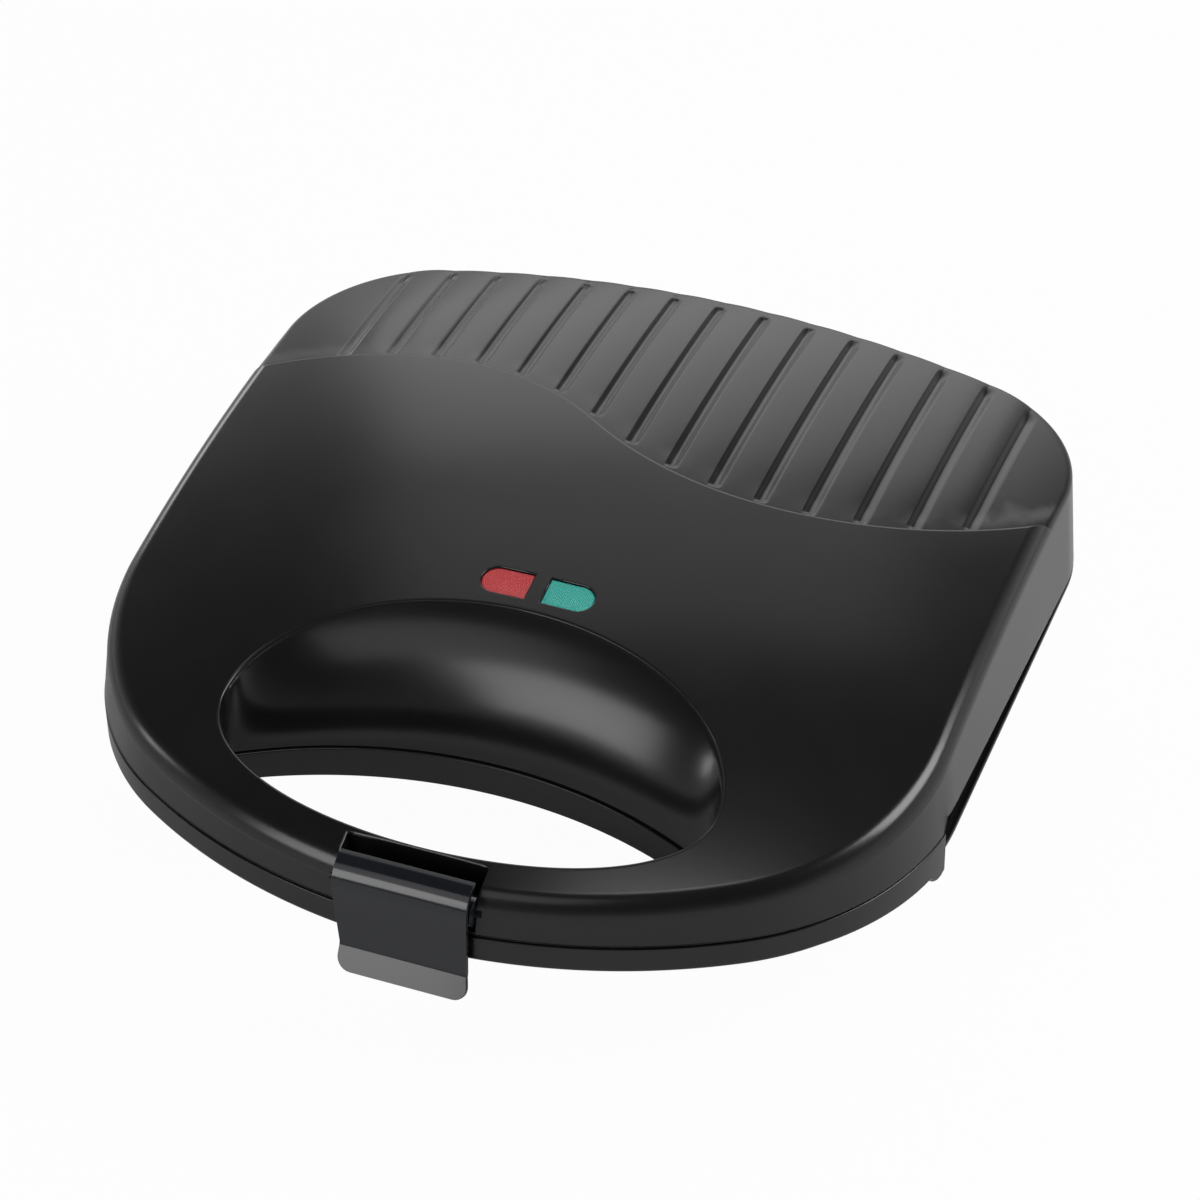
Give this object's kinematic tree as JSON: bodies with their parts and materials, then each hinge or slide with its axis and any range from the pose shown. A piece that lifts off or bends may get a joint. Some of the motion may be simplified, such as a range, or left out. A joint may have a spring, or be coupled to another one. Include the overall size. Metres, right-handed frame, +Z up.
{
  "type": "donut maker",
  "caption": "Electric clamshell donut maker: domed lid with finger hole and lamps, ring-mould plates, rear hinges, front latch and rubber feet.",
  "frame": {"origin": "centre of the bounding box's underside, on the plane the feet rest on", "axes": "+Z up, +Y from the latch towards the hinges, +X to the right seen from the latch side"},
  "size_m": [0.232, 0.2424, 0.0855],
  "materials": {
    "black_plastic": "satin",
    "dark_plastic": "matte",
    "latch_plastic": "glossy",
    "coating": "non-stick coating, satin",
    "steel": "bright",
    "aluminium": "pressed sheet",
    "red_plastic": "knurled, glossy",
    "green_plastic": "knurled, glossy",
    "lamp_glass": "clear",
    "ceramic": "matte",
    "rubber": "matte"
  },
  "bodies": {
    "base": {"lower_housing": "black_plastic", "lower_inner_frame": "dark_plastic", "lower_baking_plate": "coating", "lower_heating_element": "steel", "lower_reflector": "aluminium", "lower_frame_screws": "steel", "lower_plate_screws": "steel", "terminal_block": "ceramic", "hinge_pin_left": "steel", "hinge_pin_right": "steel", "foot_front_left": "rubber", "foot_front_right": "rubber", "foot_rear_left": "rubber", "foot_rear_right": "rubber"},
    "lid": {"upper_housing": "black_plastic", "upper_inner_frame": "dark_plastic", "upper_baking_plate": "coating", "upper_heating_element": "steel", "upper_reflector": "aluminium", "upper_frame_screws": "steel", "upper_plate_screws": "steel", "red_lens": "red_plastic", "green_lens": "green_plastic", "lamp_holder": "ceramic", "red_neon_lamp": "lamp_glass", "green_neon_lamp": "lamp_glass", "thermostat": "ceramic", "thermal_fuse": "aluminium", "latch_pin": "steel"},
    "latch": {"latch": "latch_plastic"}
  },
  "joints": [
    {"name": "lid_hinge", "type": "hinge", "parent": "base", "child": "lid", "pos_m": [0, 0.11642, 0.042], "axis": [-1, 0, 0], "range_deg": [0, 105]},
    {"name": "latch_pivot", "type": "hinge", "parent": "lid", "child": "latch", "pos_m": [0, -0.11118, 0.0482], "axis": [-1, 0, 0], "range_deg": [-5, 50]}
  ]
}
